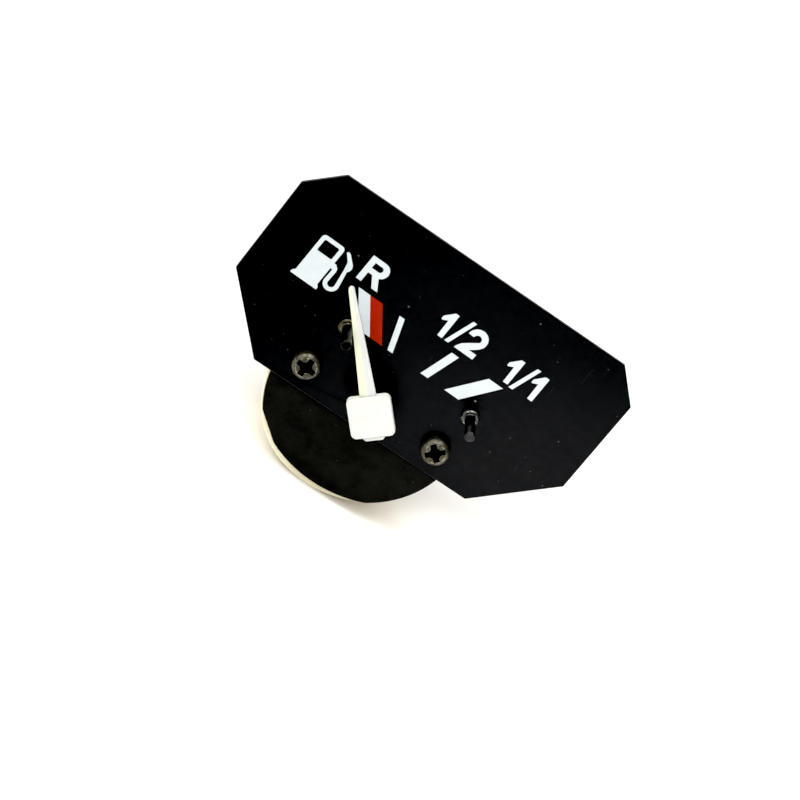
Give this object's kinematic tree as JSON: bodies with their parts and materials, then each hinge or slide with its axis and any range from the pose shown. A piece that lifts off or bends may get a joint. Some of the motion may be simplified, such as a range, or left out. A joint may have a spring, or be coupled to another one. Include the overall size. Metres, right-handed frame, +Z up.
{
  "type": "fuel gauge",
  "caption": "Panel fuel gauge: octagonal printed dial plate on a round case with rear terminal studs, and an ivory pointer that sweeps between two stop pins.",
  "frame": {"origin": "on the axis of the round case, in the plane of its rear face, in the middle of the circle of terminal studs", "axes": "+X to the viewer's right, +Y rearwards out of the back of the case along the studs, +Z up; the dial faces -Y"},
  "size_m": [0.068, 0.0388, 0.0511],
  "materials": {
    "dial_paint": "matte black paint with dust and light scratches",
    "white_ink": "screen-printed white",
    "red_ink": "screen-printed red",
    "screw_steel": "blackened, worn to khaki at the rim",
    "pin_left": "darkened khaki brass",
    "pin_right": "dark grey, bright at the end",
    "disc_black": "matte black, faintly mottled",
    "case_cream": "satin cream moulding",
    "insert_brass": "turned",
    "stud_brass": "nickel-worn brass thread",
    "tinned_steel": "tinned",
    "lead_wire": "enamelled copper",
    "resistor_body": "lacquered tan",
    "can_steel": "drawn steel, zinc grey",
    "bobbin_plastic": "dark grey moulding",
    "coil_copper": "wound enamelled copper",
    "bearing_brass": "reamed",
    "magnet_black": "sintered magnet",
    "pointer_ivory": "satin ivory moulding",
    "weight_brass": "stamped sheet",
    "shaft_steel": "ground",
    "hub_white": "natural moulding"
  },
  "bodies": {
    "case_body": {"dial_plate": "dial_paint", "scale_white": "white_ink", "scale_red": "red_ink", "dial_screws": "screw_steel", "stop_pin_left": "pin_left", "stop_pin_right": "pin_right", "front_disc": "disc_black", "case": "case_cream", "post_inserts": "insert_brass", "terminal_studs": "stud_brass", "terminal_tags": "tinned_steel", "coil_leads": "lead_wire", "ballast_resistor": "resistor_body", "resistor_leads": "tinned_steel", "shield_can": "can_steel", "bobbin_front": "bobbin_plastic", "bobbin_rear": "bobbin_plastic", "inner_coil": "coil_copper", "outer_coil": "coil_copper", "front_bearing": "bearing_brass", "rear_bearing": "bearing_brass", "return_magnet": "magnet_black"},
    "pointer_body": {"pointer": "pointer_ivory", "pointer_cap": "pointer_ivory", "balance_weight": "weight_brass", "pointer_bush": "bearing_brass", "pointer_shaft": "shaft_steel", "magnet_hub": "hub_white", "rotor_magnet": "magnet_black"}
  },
  "joints": [
    {"name": "pointer_sweep", "type": "hinge", "parent": "case_body", "child": "pointer_body", "pos_m": [-0.0004, 0, 0.0022], "axis": [0, 1, 0], "range_deg": [0, 99.1]}
  ]
}
